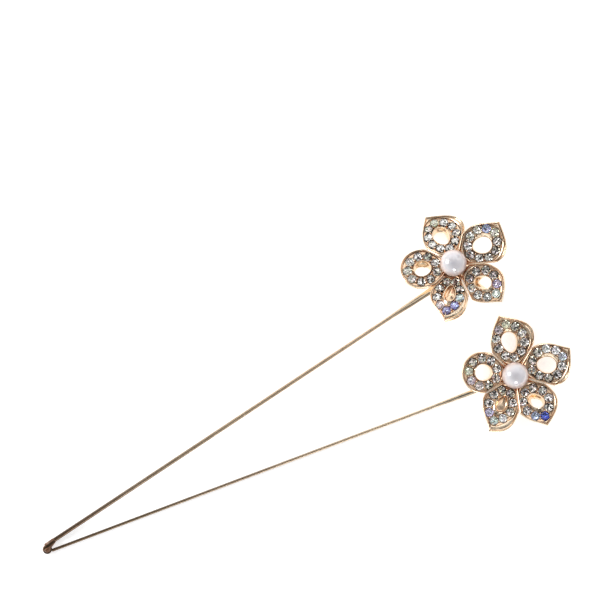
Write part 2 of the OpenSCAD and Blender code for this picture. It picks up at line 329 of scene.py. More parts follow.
def seam_lines(side, k, heights):
    """The sector's two cutting planes in the petal's own frame, as (normal x, normal y, least)."""
    before, after = (5 if k == 1 else k - 1), (1 if k == 5 else k + 1)
    here = BEND[side][k][0]
    left = ((BEND[side][before][0] - here + 720) % 360) / 2 - SEAM_TURN[before]
    right = ((here - BEND[side][after][0] + 720) % 360) / 2 + SEAM_TURN[k]
    matrix = np.array(bend_matrix(side, k), float)
    lines = []
    for angle, sign in ((left, -1), (right, 1)):
        a = math.radians(angle)
        normal = np.array([math.sin(a), sign * math.cos(a), 0.0])
        local = matrix[:3, :3].T @ normal
        base = float(normal @ matrix[:3, 3])
        for z in heights:
            lines.append((local[0], local[1], SEAM - base - local[2] * z))
    return lines


def ray_reach(centre, directions, polygon, lines):
    """How far each ray from the centre goes before it leaves the polygon or crosses a line."""
    a = polygon
    b = np.roll(polygon, -1, axis=0)
    e = b - a
    reach = np.full(len(directions), 1e9)
    for n, u in enumerate(directions):
        det = u[0] * (-e[:, 1]) + e[:, 0] * u[1]
        safe = np.where(np.abs(det) < 1e-12, 1e-12, det)
        w = a - centre
        t = (w[:, 0] * (-e[:, 1]) + e[:, 0] * w[:, 1]) / safe
        s = (u[0] * w[:, 1] - u[1] * w[:, 0]) / safe
        hit = (t > 1e-6) & (s >= -1e-9) & (s <= 1 + 1e-9) & (np.abs(det) > 1e-12)
        if hit.any():
            reach[n] = t[hit].min()
        for nx, ny, least in lines:
            slope = nx * u[0] + ny * u[1]
            if slope < -1e-9:
                reach[n] = min(reach[n], (least - nx * centre[0] - ny * centre[1]) / slope)
    return reach


def distance_to(points, line):
    """Distance from each point to a closed polyline."""
    a, b = line, np.roll(line, -1, axis=0)
    e = b - a
    length = np.maximum((e * e).sum(1), 1e-12)
    best = np.full(len(points), 1e9)
    batch = 1500
    for lo in range(0, len(points), batch):
        p = points[lo:lo + batch, None, :]
        t = np.clip(((p - a) * e).sum(2) / length, 0, 1)
        best[lo:lo + batch] = np.sqrt((((p - a) - t[:, :, None] * e) ** 2).sum(2)).min(1)
    return best


class PetalGrid:
    """Rays from the window's middle, with the places along each at set distances from the edges."""

    def __init__(self, side, k):
        self.side, self.k = side, k
        self.centre = np.array(WINDOW[k][:2])
        dense = np.linspace(-math.pi, math.pi, DENSE_RAYS, endpoint=False)
        directions = np.stack([np.cos(dense), np.sin(dense)], 1)
        tight = seam_lines(side, k, (0.0, RIM_Z))
        reach = ray_reach(self.centre, directions, outline(k), tight)
        edge = self.centre + directions * reach[:, None]
        lengths = np.linalg.norm(np.roll(edge, -1, axis=0) - edge, axis=1)
        along = np.concatenate([[0], np.cumsum(lengths)])
        closed = np.concatenate([dense, [math.pi]])
        wanted = np.linspace(0, along[-1], PETAL_RAYS, endpoint=False)
        angles = np.interp(wanted, along, closed)
        # The nearest ray is moved onto each sharp corner of the outline
        step, near, sharp = 6, 20, math.radians(24)
        ahead = np.roll(edge, -step, axis=0) - edge
        behind = edge - np.roll(edge, step, axis=0)
        bend = np.abs(np.arctan2(
            behind[:, 0] * ahead[:, 1] - behind[:, 1] * ahead[:, 0], (behind * ahead).sum(1)))
        for i in range(DENSE_RAYS):
            around = [bend[(i + j) % DENSE_RAYS] for j in range(-near, near + 1)]
            if bend[i] > sharp and bend[i] == max(around):
                angles[np.argmin(np.abs(angles - dense[i]))] = dense[i]
        self.angles = np.sort(angles)
        self.rays = np.stack([np.cos(self.angles), np.sin(self.angles)], 1)
        self.edge = edge[::2]
        self.out = ray_reach(self.centre, self.rays, outline(k), tight)
        self.out_at = [
            ray_reach(self.centre, self.rays, outline(k), seam_lines(side, k, (z,))) for z in (0.0, RIM_Z)
        ]
        self.hole = window_at(k, np.linspace(0, 2 * math.pi, 240, endpoint=False))
        self.inn = ray_reach(self.centre, self.rays, self.hole, [])
        self.t = self.inn[:, None] + (self.out - self.inn)[:, None] * np.linspace(0, 1, 56)
        flat = (self.centre + self.rays[:, None, :] * self.t[:, :, None]).reshape(-1, 2)
        line = np.array([ring_point(k, a) for a in np.linspace(0, 2 * math.pi, 160, endpoint=False)])
        self.line_reach = ray_reach(self.centre, self.rays, line, [])
        self.from_edge = distance_to(flat, self.edge).reshape(self.t.shape)
        self.from_hole = distance_to(flat, self.hole).reshape(self.t.shape)
        self.from_line = distance_to(flat, line).reshape(self.t.shape)

    def at(self, reach, z):
        flat = self.centre + self.rays * reach[:, None]
        return np.column_stack([flat, np.broadcast_to(z, (len(flat),))])

    @staticmethod
    def first_from_outside(row, t, d):
        for i in range(len(row) - 1, 0, -1):
            if row[i - 1] >= d >= row[i]:
                share = (d - row[i]) / max(row[i - 1] - row[i], 1e-9)
                return t[i] + (t[i - 1] - t[i]) * share
        return t[int(np.argmax(row))]

    def from_out(self, d, z):
        """Reach at distance d inwards from the petal's edge; near the edge it follows the seams."""
        share = min(max(z / RIM_Z, 0.0), 1.0)
        at_z = self.out_at[0] * (1 - share) + self.out_at[1] * share
        if d <= 0:
            return at_z
        inner = np.array([self.first_from_outside(r, t, d) for r, t in zip(self.from_edge, self.t)])
        return inner + (at_z - self.out) * max(0.0, 1 - d / 0.7)

    def from_in(self, d):
        """Reach at distance d outwards from the window, or inwards where d is negative."""
        if d <= 0:
            return np.maximum(self.inn + d * 1.02, 0.35 * self.inn)
        return np.array([
            np.interp(d, np.maximum.accumulate(r), t) for r, t in zip(self.from_hole, self.t)])

    def channel(self):
        """Reach of the inner and outer sides of the stones' channel."""
        outer, inner = [], []
        for row, t, line in zip(self.from_line, self.t, self.line_reach):
            beyond = (t > line) & (row > SEAT_REACH)
            short = (t < line) & (row > SEAT_REACH)
            outer.append(t[beyond].min() if beyond.any() else t[-1])
            inner.append(t[short].max() if short.any() else t[0])
        low, high = self.from_in(0.33), self.from_out(0.36, RIM_Z)
        soft = np.array([0.25, 0.5, 0.25])
        outer, inner = np.array(outer), np.array(inner)
        for _ in range(2):
            outer = np.convolve(np.concatenate([outer[-1:], outer, outer[:1]]), soft, "valid")
            inner = np.convolve(np.concatenate([inner[-1:], inner, inner[:1]]), soft, "valid")
        return np.maximum(inner, low), np.minimum(outer, high)


# How far the window's wall leans inwards at its foot, in mm: all round, and more towards
# one direction, given along and across the flower seen from the front
LEAN = {
    "left": {1: (0.3, 0.5, 0.45), 2: (0.12, 0, 0), 3: (0.5, -0.7, -0.3), 4: (0, 0, 0), 5: (0.5, 0, 0.9)},
    "right": {1: (0.2, 0, 0), 2: (0.12, 0, 0), 3: (0.8, 0, 0.55), 4: (0, 0, 0), 5: (0.15, 0, 0)},
}


def lean(grid):
    base, right, up = LEAN[grid.side][grid.k]
    way = RIGHT * right + UP * up
    spin = math.radians(ANGLE[grid.side] + BEND[grid.side][grid.k][0])
    x = way.x * math.cos(spin) + way.y * math.sin(spin)
    y = -way.x * math.sin(spin) + way.y * math.cos(spin)
    if SHAPE[grid.k][4]:
        y = -y
    return np.clip(base + grid.rays @ np.array([x, y]), 0.05, 0.55 * grid.inn)


def petal_mesh(grid):
    """Rounded wall and rim, a sloping land, the stones' channel, and a collar round the window."""
    rows = []
    for d, z in [(0.55, 0.0), (0.22, 0.0), (0.06, 0.07), (0.0, 0.24), (0.0, 0.75), (0.0, 1.26),
                 (0.03, 1.39), (0.1, 1.47), (0.19, RIM_Z), (0.27, 1.475), (0.33, 1.4)]:
        rows.append(grid.at(grid.from_out(d, z), z))
    c_in, c_out = grid.channel()
    brow = grid.from_out(0.33, RIM_Z)
    land = np.clip(brow - c_out, 0, None)
    wide = np.clip(land / 0.8, 0, 1)
    for share, height, groove in [(0.1, 1.34, -0.14), (0.24, 1.33, -0.22), (0.42, 1.32, -0.04),
                                  (0.58, 1.31, 0.06), (0.74, 1.3, 0.02), (0.9, 1.26, -0.06)]:
        rows.append(grid.at(brow - share * land - 0.02 * share - 0.002, height + groove * wide))
    rows.append(grid.at(np.minimum(c_out, brow - 0.02) - 0.02, 1.06))
    for d, z in [(0.04, 0.95), (0.1, FLOOR_Z + 0.04), (0.25, FLOOR_Z)]:
        rows.append(grid.at(c_out - d, z))
    for d, z in [(0.25, FLOOR_Z), (0.1, FLOOR_Z + 0.04), (0.05, 0.93)]:
        rows.append(grid.at(c_in + d, z))
    collar = grid.from_in(0.31)
    shelf = np.clip(c_in - collar - 0.02, 0, None)
    rows.append(grid.at(c_in + 0.03, 1.02))
    rows.append(grid.at(collar + 0.5 * shelf + 0.01, 1.16))
    for d, z in [(0.29, 1.28), (0.2, 1.38), (0.1, 1.38), (0.02, 1.3)]:
        rows.append(grid.at(grid.from_in(d), z))
    foot = [(0.5, 0.0), (0.38, -0.06), (0.34, -0.3), (0.27, -0.52), (0.1, -COLLAR_DROP)]
    count = len(grid.angles)
    if WINDOW[grid.k][6]:
        inward = lean(grid)
        for share, z in [(0.0, 1.15), (0.35, 0.65), (0.7, 0.1), (1.0, -0.4), (1.0, -0.52)]:
            rows.append(grid.at(grid.inn - inward * share - 0.01, z))
        rows.append(grid.at(grid.inn - inward * 0.8, -COLLAR_DROP))
        for d, z in foot[::-1]:
            rows.append(grid.at(grid.from_in(d), z))
        return np.concatenate(rows), ring_faces(len(rows), count)
    # A closed window: its floor is a low dome, and the back of the petal is closed
    for d, z in [(0.0, 1.1), (0.08, 0.55), (0.2, 0.18), (0.45, 0.02)]:
        rows.append(grid.at(grid.from_in(-d), z))
    for share, z in ((0.6, 0.03), (0.3, 0.12)):
        rows.append(grid.at(grid.inn * share, z))
    back = [grid.at(grid.from_in(d), z) for d, z in foot]
    back.append(grid.at(grid.inn * 0.5, -COLLAR_DROP))
    rows = back[::-1] + rows
    x, y = grid.centre
    points = np.concatenate(rows + [[[x, y, -COLLAR_DROP], [x, y, 0.15]]])
    return points, fanned_faces(len(rows), count)


def bead(x, y, foot, top):
    """A prong's round head on a short stem."""
    radius, crown = PRONG_R, top - PRONG_R
    profile = [(0, foot), (radius * 0.92, foot), (radius, crown)]
    profile += [(radius * math.cos(a), crown + radius * math.sin(a)) for a in np.radians((22, 45, 66, 80))]
    profile += [(0, top)]
    points, faces = lathe(profile, 14)
    return points + [x, y, 0], faces


def prongs(grid, centres, rng):
    """Pairs of prongs between neighbouring stones, where there is room for them."""
    parts = []
    count = len(centres)
    for i in range(count):
        a, b = centres[i], centres[(i + 1) % count]
        middle, along = (a + b) / 2, b - a
        gap = np.linalg.norm(along)
        across = np.array([-along[1], along[0]]) / gap
        for sign in (-1, 1):
            out = math.sqrt(max((STONE_R + PRONG_R * 0.8) ** 2 - (gap / 2) ** 2, 0.3))
            place = middle + across * sign * out
            edge = distance_to(place[None, :], grid.edge)[0]
            hole = distance_to(place[None, :], grid.hole)[0]
            if min(edge, hole) >= PRONG_TO_EDGE:
                parts.append(bead(*place, FLOOR_Z - 0.05, RIM_Z + rng.uniform(-0.06, 0.04)))
    return merged(parts)


# ---------------------------------------------------------------- stones
def brilliant(rng):
    """A round cut: table, star, kite and girdle facets above, foiled facets behind."""
    r = STONE_R
    # The foot is higher than the CAD stone's, whose lower part is hidden in its seat
    foot, low, girdle, top = 0.82, 0.96, 1.07, SEAT_Z + GIRDLE_H + CROWN_H

    def circle(radius, z, count, first=0.0):
        step = 2 * math.pi / count
        return [(radius * math.cos(step * (i + first)), radius * math.sin(step * (i + first)), z)
                for i in range(count)]

    points = circle(0.56 * r, top, 8) + circle(0.77 * r, girdle + 0.56 * (top - girdle), 8, 0.5)
    points += circle(r, girdle, 16) + circle(r, low, 16)
    # The facets behind rise and fall in turn, so each throws back a different light
    points += [(x, y, z + (0.07 + rng.uniform(0, 0.05) if i % 2 else 0.0)) for i, (x, y, z) in
               enumerate(circle(0.52 * r, foot + 0.01, 8, 0.5))]
    points.append((0, 0, foot + rng.uniform(0.0, 0.15)))
    # First point of the table, star, upper and lower girdle, facets behind, and their middle
    T, M, G, L, P, C = 0, 8, 16, 32, 48, 56
    faces, kinds = [tuple(range(8))], [0]
    for i in range(8):
        j = (i + 1) % 8
        faces += [
            (T + i, M + i, T + j),
            (T + i, M + (i - 1) % 8, G + 2 * i, M + i),
            (M + i, G + 2 * i, G + 2 * i + 1),
            (M + i, G + 2 * i + 1, G + (2 * i + 2) % 16),
        ]
        kinds += [0, 0, 0, 0]
    for i in range(16):
        j = (i + 1) % 16
        faces.append((G + i, L + i, L + j, G + j))
        kinds.append(0)
    for i in range(8):
        j = (i + 1) % 8
        k = (2 * i + 2) % 16
        faces += [
            (L + 2 * i, P + i, L + 2 * i + 1),
            (L + 2 * i + 1, P + i, L + k),
            (L + k, P + i, P + j),
            (C, P + j, P + i),
        ]
        kinds += [1, 1, 1, 1]
    place = (
        turn("Z", math.degrees(rng.uniform(0, math.pi / 4)))
        @ turn("X", rng.uniform(-2.0, 2.0))
        @ turn("Y", rng.uniform(-2.0, 2.0))
    )
    return transformed(points, shift(0, 0, girdle) @ place @ shift(0, 0, -girdle)), faces, kinds


# Stones with a colour cast, by petal and place in the ring; the rest are clear
CAST = {
    "left": {
        1: {0: "straw"},
        2: {0: "straw", 1: "steel"},
        3: {0: "mint", 8: "violet"},
        4: {0: "indigo", 8: "indigo", 7: "mint", 1: "blush"},
        5: {0: "cream", 1: "cream", 8: "cream"},
    },
    "right": {
        1: {0: "straw", 1: "blush"},
        2: {0: "ice", 1: "white", 2: "white"},
        3: {0: "royal", 1: "steel"},
        4: {0: "mint", 8: "white", 1: "violet"},
        5: {0: "straw", 1: "blush", 2: "cream"},
    },
}
HUES = {
    "clear": (1.0, 0.95, 0.88),
    "straw": (1.0, 0.99, 0.84),
    "steel": (0.66, 0.74, 0.92),
    "mint": (0.9, 1.0, 0.95),
    "violet": (0.86, 0.8, 1.0),
    "indigo": (0.62, 0.62, 0.95),
    "royal": (0.2, 0.26, 0.78),
    "blush": (1.0, 0.9, 0.92),
    "cream": (1.0, 0.98, 0.92),
    "white": (1.0, 1.0, 1.0),
    "ice": (0.86, 0.93, 1.0),
}


def stone_set(side, k, centres, rng):
    parts, materials, tints = [], [], []
    for i, centre in enumerate(centres):
        points, faces, kinds = brilliant(rng)
        points = points + [centre[0], centre[1], 0]
        name = CAST[side][k].get(i, "clear")
        clear = name == "clear"
        # Painted glints and dark facets: each stone and each facet behind gets a random brightness, from
        # near black to bright enough to clip, in place of what the facets would reflect; the coloured
        # stones are kept bright
        painted_sparkle = rng.uniform(0.9, 1.9) if clear else 1.15
        # Kept as alpha: how far the foil is a mirror. The coated stones are milky.
        mirror = 1.0 if clear else 0.8
        for kind in kinds:
            shade = 1.0
            if kind:
                shade = painted_sparkle * rng.choice((0.08, 0.5, 0.9, 1.0), p=(0.24, 0.14, 0.3, 0.32))
            if not clear:
                shade = 0.75 + 0.25 * shade
            drift = 1 + rng.uniform(-0.14, 0.08, 3)
            tints.append(np.append(np.clip(np.array(HUES[name]) * shade * drift, 0, 1), mirror))
        parts.append((points, faces))
        materials += kinds
    points, faces = merged(parts)
    return points, faces, materials, tints


# ---------------------------------------------------------------- materials
def node(tree, kind, **values):
    n = tree.nodes.new(kind)
    for key, value in values.items():
        if key in n.inputs:
            n.inputs[key].default_value = value
        else:
            setattr(n, key, value)
    return n


def material(name, **values):
    """A shader with set values, the tree it is in, and the object's own coordinates."""
    m = bpy.data.materials.new(name)
    m.use_nodes = True
    tree = m.node_tree
    tree.nodes.clear()
    out = tree.nodes.new("ShaderNodeOutputMaterial")
    shader = tree.nodes.new("ShaderNodeBsdfPrincipled")
    for key, value in values.items():
        shader.inputs[key.replace("_", " ")].default_value = value
    tree.links.new(shader.outputs["BSDF"], out.inputs["Surface"])
    return m, tree, shader, node(tree, "ShaderNodeTexCoord").outputs["Object"]


def ramp(tree, source, stops):
    n = tree.nodes.new("ShaderNodeValToRGB")
    elements = n.color_ramp.elements
    while len(elements) < len(stops):
        elements.new(0.5)
    for e, (position, colour) in zip(elements, stops):
        e.position = position
        e.color = (*colour, 1)
    tree.links.new(source, n.inputs["Fac"])
    return n.outputs["Color"]


def greys(tree, source, *stops):
    return ramp(tree, source, [(position, (v, v, v)) for position, v in stops])


def mix(tree, factor, a, b, blend="MULTIPLY"):
    n = tree.nodes.new("ShaderNodeMix")
    n.data_type = "RGBA"
    n.blend_type = blend
    for socket, value in ((n.inputs["Factor"], factor), (n.inputs["A"], a), (n.inputs["B"], b)):
        if isinstance(value, bpy.types.NodeSocket):
            tree.links.new(value, socket)
        else:
            socket.default_value = value
    return n.outputs["Result"]


def noise(tree, coordinates, scale, detail=3.0, roughness=0.55):
    n = node(tree, "ShaderNodeTexNoise", Scale=scale, Detail=detail, Roughness=roughness)
    tree.links.new(coordinates, n.inputs["Vector"])
    return n.outputs["Fac"]


def dress(tree, shader, colour, rough, height=None, depth=0.0, strength=1.0):
    """Gives the shader its colour, roughness and bump."""
    tree.links.new(colour, shader.inputs["Base Color"])
    tree.links.new(rough, shader.inputs["Roughness"])
    if height is not None:
        bump = node(tree, "ShaderNodeBump", Strength=strength, Distance=depth)
        tree.links.new(height, bump.inputs["Height"])
        tree.links.new(bump.outputs["Normal"], shader.inputs["Normal"])


def gold(name, light, shaded_colour, rough=(0.1, 0.22)):
    """Plated metal with a fine cast grain, and painted shade: where the surface is occluded it turns
    darker and redder, painted in for shade and the light thrown between the hollows.
    """
    m, tree, shader, where = material(name, Metallic=1.0)
    fine = noise(tree, where, 3200.0, 4.0, 0.6)
    # Painted shade: occluded places are mixed towards the darker, redder colour
    occlusion = node(tree, "ShaderNodeAmbientOcclusion", samples=6, Distance=0.0026)
    painted_recess_shade = greys(tree, occlusion.outputs["AO"], (0.3, 0), (0.85, 1))
    colour = mix(tree, painted_recess_shade, (*shaded_colour, 1), (*light, 1), "MIX")
    warm = ramp(tree, noise(tree, where, 260.0), [(0.35, (1.0, 0.97, 0.93)), (0.65, (1.0, 1.0, 1.0))])
    gloss = greys(tree, fine, (0.3, rough[0]), (0.75, rough[1]))
    dress(tree, shader, mix(tree, 1.0, colour, warm), gloss, fine, 0.000012, 0.5)
    return m


def arm_gold(name, stops):
    """The wire's plating, with painted shade and reflection: dark near the hinge and brighter
    where it joins the flower, painted in for how the wire reflects light along its length. The
    stops are along the first 0.15 m of the arm."""
    m, tree, shader, where = material(name, Metallic=1.0)
    split = node(tree, "ShaderNodeSeparateXYZ")
    tree.links.new(where, split.inputs[0])
    scaled = node(tree, "ShaderNodeMath", operation="MULTIPLY")
    scaled.inputs[1].default_value = 1 / 0.15
    tree.links.new(split.outputs["X"], scaled.inputs[0])
    # Painted shade and reflection: the colour along the arm, from dark at the hinge to bright at the
    # flower
    along = ramp(tree, scaled.outputs[0], stops)
    patchy = noise(tree, where, 420.0, 4.0)
    wear = ramp(tree, patchy, [(0.3, (0.82, 0.8, 0.78)), (0.7, (1.0, 1.0, 1.0))])
    # The marks of drawing run along the wire
    stretch = node(tree, "ShaderNodeMapping", Scale=(90, 2600, 2600))
    tree.links.new(where, stretch.inputs["Vector"])
    drawn = noise(tree, stretch.outputs["Vector"], 1.0)
    gloss = greys(tree, drawn, (0.3, 0.12), (0.75, 0.24))
    dress(tree, shader, mix(tree, 1.0, along, wear), gloss, drawn, 0.00001, 0.4)
    return m


def patched_metal(name, scale, colours, rough, metallic):
    """Plating worn in patches, each with its own colour and gloss."""
    m, tree, shader, where = material(name, Metallic=metallic)
    patch = noise(tree, where, scale, 4.0)
    dress(tree, shader, ramp(tree, patch, colours), greys(tree, patch, (0.3, rough[0]), (0.7, rough[1])))
    return m


def pearl_material():
    """Nacre, with painted reflection: greyer on top, whiter round the middle and pinker towards the rim,
    painted in for what the pearl reflects from the dark overhead and the gold round it.
    """
    m, tree, shader, where = material(
        "pearl_nacre", Specular_IOR_Level=0.75, Specular_Tint=(1.0, 0.93, 0.95, 1), Coat_Weight=1.0,
        Coat_Roughness=0.12, Coat_IOR=2.0, Subsurface_Weight=0.12,
        Subsurface_Radius=(0.001, 0.0007, 0.0006), Subsurface_Scale=1.0)
    cloud = noise(tree, where, 330.0)
    body = ramp(tree, cloud, [(0.3, (0.9, 0.87, 0.9)), (0.7, (0.96, 0.93, 0.94))])
    split = node(tree, "ShaderNodeSeparateXYZ")
    tree.links.new(node(tree, "ShaderNodeNewGeometry").outputs["Normal"], split.inputs[0])
    # Painted reflection and shade, by the surface's world direction: grey on top, a white ring, pink and
    # orange towards the sides
    shade = ramp(tree, split.outputs["Z"], [
        (0.1, (0.95, 0.62, 0.5)), (0.45, (1.0, 0.84, 0.78)), (0.66, (1.0, 0.96, 0.95)),
        (0.8, (0.98, 0.98, 1.0)), (0.92, (0.86, 0.86, 0.89)), (1.0, (0.74, 0.74, 0.77)),
    ])
    satin = noise(tree, where, 2600.0)
    dress(tree, shader, mix(tree, 1.0, body, shade), greys(tree, satin, (0.3, 0.16), (0.7, 0.22)))
    return m


def crystal():
    m, tree, shader, where = material("crystal", Transmission_Weight=1.0, IOR=1.6)
    tint = node(tree, "ShaderNodeAttribute", attribute_name="tint")
    pale = mix(tree, 0.3, (1, 1, 1, 1), tint.outputs["Color"], "MIX")
    smear = noise(tree, where, 1500.0, 2.0)
    dress(tree, shader, pale, greys(tree, smear, (0.4, 0.0), (0.8, 0.04)))
    return m


def foil():
    """The mirror behind each stone, in the tint of its facet; the tint also carries painted glints and
    dark facets.
    """
    m, tree, shader, where = material("stone_foil")
    tint = node(tree, "ShaderNodeAttribute", attribute_name="tint")
    grain = noise(tree, where, 1800.0, 2.0)
    fleck = greys(tree, grain, (0.35, 0.85), (0.65, 1))
    colour = mix(tree, 1.0, tint.outputs["Color"], fleck)
    dress(tree, shader, colour, greys(tree, grain, (0.3, 0.02), (0.7, 0.08)))
    tree.links.new(tint.outputs["Alpha"], shader.inputs["Metallic"])
    return m


def paper():
    m, tree, shader, where = material(
        "studio_paper", Roughness=0.9, Specular_IOR_Level=0.1, Emission_Color=(1, 1, 1, 1),
        Emission_Strength=0.56)
    fibre = noise(tree, where, 60.0, 4.0)
    tree.links.new(greys(tree, fibre, (0.2, 0.8), (0.8, 0.83)), shader.inputs["Base Color"])
    return m


PETAL_GOLD = gold("petal_gold", (0.96, 0.79, 0.6), (0.56, 0.27, 0.12))
# Painted shade: a darker, redder copy of the petals' plating, for the hub where it lies in shade deep
# between the petals; the cups and the pegs share it
SHADED_HUB_GOLD = gold("hub_gold", (0.92, 0.66, 0.44), (0.58, 0.25, 0.1), rough=(0.22, 0.36))
ARM_GOLD = {
    "left": arm_gold("left_arm_gold", [
        (0.0, (0.11, 0.07, 0.042)), (0.06, (0.18, 0.12, 0.08)), (0.2, (0.34, 0.26, 0.19)),
        (0.45, (0.66, 0.52, 0.37)), (0.75, (0.93, 0.73, 0.53)), (0.93, (1.0, 0.82, 0.6)),
    ]),
    "right": arm_gold("right_arm_gold", [
        (0.0, (0.11, 0.07, 0.042)), (0.06, (0.16, 0.11, 0.07)), (0.2, (0.2, 0.15, 0.1)),
        (0.45, (0.38, 0.29, 0.21)), (0.75, (0.76, 0.61, 0.44)), (0.9, (1.0, 0.86, 0.66)),
    ]),
}
PIN_BRONZE = patched_metal(
    "pin_bronze", 900.0, [(0.3, (0.13, 0.06, 0.035)), (0.7, (0.34, 0.18, 0.11))], (0.42, 0.24), 1.0)
WORN_COPPER = patched_metal("worn_copper", 700.0, [
    (0.34, (0.22, 0.12, 0.075)), (0.5, (0.45, 0.27, 0.19)), (0.68, (0.82, 0.6, 0.48)),
], (0.45, 0.25), 0.9)
NACRE = pearl_material()
CRYSTAL = crystal()
FOIL = foil()


# ---------------------------------------------------------------- flowers
def hub_mesh(side):
    """A disc whose front meets the underside of every petal, with a round boss in its middle."""
    planes, fade = {}, 22.0
    for k in PETALS:
        m = turn("Z", BEND[side][k][0]) @ bend_matrix(side, k)
        point = m @ Vector((HINGE_LINE, 0, 0))
        normal = (m.to_3x3() @ Vector((0, 0, 1))).normalized()
        planes[BEND[side][k][0]] = (point, normal)

    def height(x, y):
        a = math.degrees(math.atan2(y, x))
        weights = total = 0.0
        for direction, (point, normal) in sorted(planes.items()):
            off = abs((a - direction + 180) % 360 - 180)
            w = math.exp(-((off / fade) ** 4))
            total += w * (point.z - (normal.x * (x - point.x) + normal.y * (y - point.y)) / normal.z)
            weights += w
        return min(max(total / max(weights, 1e-9), 0.4), 2.3) - 0.04

    segments = 96
    angles = np.linspace(0, 2 * math.pi, segments, endpoint=False)
    rings = [(1.6, "flat", 0.0), (HUB_R - 0.5, "flat", 0.0), (HUB_R - 0.12, "flat", 0.02),
             (HUB_R, "flat", 0.14), (HUB_R, "top", -0.16), (HUB_R - 0.05, "top", -0.05),
             (HUB_R - 0.16, "top", 0.0), (4.0, "top", 0.0), (3.5, "top", 0.0), (3.0, "top", 0.0),
             (2.65, "top", 0.02), (2.42, "boss", -0.3), (BOSS_R, "boss", -0.12),
             (BOSS_R - 0.08, "boss", -0.02), (BOSS_R - 0.2, "boss", 0.0), (1.2, "boss", 0.0)]
    points = []
    for r, kind, z in rings:
        for a in angles:
            x, y = r * math.cos(a), r * math.sin(a)
            base = 0.0 if kind == "flat" else (BOSS_H if kind == "boss" else height(x, y))
            points.append((x, y, base + z))
    points += [(0, 0, 0.0), (0, 0, BOSS_H)]
    return np.array(points), fanned_faces(len(rings), segments)


def cup_mesh():
    """A thin cup that fits under the ball of the pearl."""
    ball, floor_z, top = PEARL_R + 0.03, BOSS_H + CUP_FLOOR, BOSS_H + CUP_H
    inner = [(r, max(floor_z, PEARL_Z - math.sqrt(ball * ball - r * r)))
             for r in (0.55, 1.1, 1.55, 1.85, CUP_R - 0.12)]
    profile = [(0.5, BOSS_H + 0.01), (CUP_R - 0.1, BOSS_H + 0.01), (CUP_R, BOSS_H + 0.1),
               (CUP_R, top - 0.16), (CUP_R - 0.03, top - 0.05), (CUP_R - 0.08, top - 0.02)]
    profile += inner[::-1] + [(0.5, floor_z)]
    return lathe(profile, 72)


def pearl_mesh(rng):
    """A ball with a small flat under it, very slightly out of round."""
    low = PEARL_FLAT - PEARL_R
    angles = np.linspace(math.asin(low / PEARL_R), math.pi / 2, 44)[:-1]
    profile = [(0, low)] + [(PEARL_R * math.cos(a), PEARL_R * math.sin(a)) for a in angles]
    profile.append((0, PEARL_R))
    points, faces = lathe(profile, 80)
    phase = rng.uniform(0, 6.28, 3)
    unit = points / PEARL_R
    swell = sum(np.sin(3.1 * unit[:, i] + phase[i]) for i in range(3)) * 0.006
    inside = 0.996 + np.minimum(swell, 0.0)
    return points * inside[:, None] + [0, 0, PEARL_Z], faces


rng = np.random.default_rng(SEED)
for side in SIDES:
    flower = on_flower(side)
    for k in PETALS:
        grid = PetalGrid(side, k)
        place = on_petal(side, k)
        piece(f"{side}_petal_{k}_cast", *petal_mesh(grid), place, [PETAL_GOLD], side,
              [f"{side}_petal_{k}"], "gold_plate", sharp=34)
        centres = stone_centres(k)
        piece(f"{side}_petal_{k}_prongs", *prongs(grid, centres, rng), place, [PETAL_GOLD], side,
              [f"{side}_petal_{k}"], "gold_plate", sharp=50)
        points, faces, kinds, tints = stone_set(side, k, centres, rng)
        piece(f"{side}_stones_{k}_cut", points, faces, place, [CRYSTAL, FOIL], side,
              [f"{side}_stones_{k}"], "rhinestone", sharp=None, face_material=kinds, tints=tints)
    piece(f"{side}_hub_cast", *hub_mesh(side), flower, [SHADED_HUB_GOLD], side, [f"{side}_hub"], "gold_plate")
    piece(f"{side}_cup_spun", *cup_mesh(), flower, [SHADED_HUB_GOLD], side, [f"{side}_pearl_cup"],
          "gold_plate")
    piece(f"{side}_pearl_ball", *pearl_mesh(rng), flower, [NACRE], side, [f"{side}_pearl"], "pearl")


# ---------------------------------------------------------------- arms and hinge
def smooth_step(x, a, b):
    t = min(max((x - a) / (b - a), 0.0), 1.0)
    return t * t * (3 - 2 * t)


